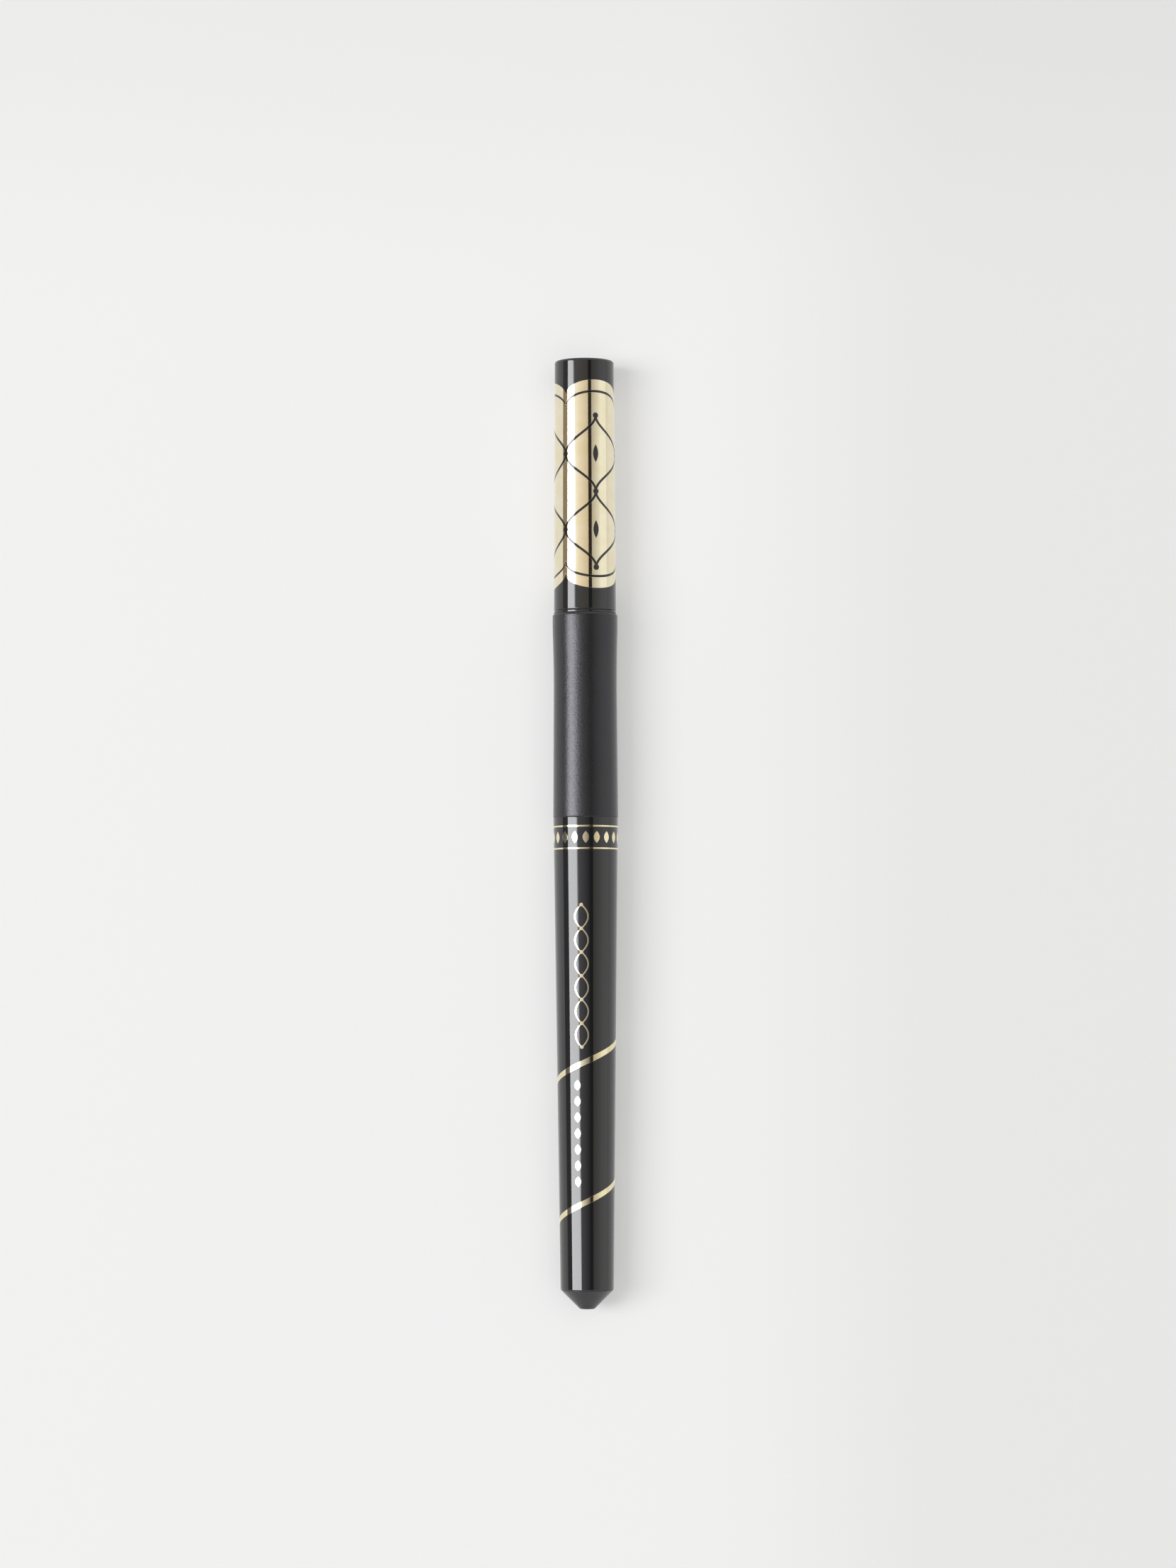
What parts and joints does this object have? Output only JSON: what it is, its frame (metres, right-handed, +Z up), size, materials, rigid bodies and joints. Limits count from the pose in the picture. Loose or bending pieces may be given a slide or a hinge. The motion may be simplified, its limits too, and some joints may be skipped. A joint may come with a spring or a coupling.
{
  "type": "liquid eyeliner pen",
  "caption": "Slim liquid eyeliner pen with a waisted soft grip, tapered barrel, felt nib, finned ink collector and a pull-off cap lined to keep the nib wet.",
  "frame": {"origin": "on the surface the pen lies on, under the middle of its length, below its axis", "axes": "+Y along the pen towards the closed end of the cap, +Z up, +X to the right when the cap points away"},
  "size_m": [0.0094, 0.137, 0.0094],
  "materials": {
    "satin_black": "satin moulded black",
    "gloss_black": "glossy black with gold foil marks",
    "soft_black": "matt soft-touch black, fine grain",
    "neck_black": "glossy moulded black",
    "black_felt": "bonded felt, soaked in black ink",
    "feed_fibre": "bonded fibre rod",
    "natural_plastic": "natural moulded plastic",
    "red_rubber": "matt rubber",
    "clear_plastic": "translucent moulded plastic",
    "stopper_plastic": "soft natural plastic",
    "ball_steel": "polished steel",
    "cap_black": "glossy black with a zone of gold foil",
    "liner_plastic": "soft white plastic"
  },
  "bodies": {
    "pen": {"tail_plug": "satin_black", "barrel": "gloss_black", "grip_sleeve": "soft_black", "front_section": "neck_black", "nib": "black_felt", "relay_core": "feed_fibre", "collector": "natural_plastic", "seal_ring": "red_rubber", "ink_tank": "clear_plastic", "tank_plug": "stopper_plastic"},
    "ball": {"mixing_ball": "ball_steel"},
    "cap": {"cap_shell": "cap_black", "inner_cap": "liner_plastic"}
  },
  "joints": [
    {"name": "cap_pull", "type": "slide", "parent": "pen", "child": "cap", "axis": [0, 1, 0], "range_m": [0, 0.045]},
    {"name": "ball_roll", "type": "slide", "parent": "pen", "child": "ball", "axis": [0, 1, 0], "range_m": [0, 0.043]}
  ]
}
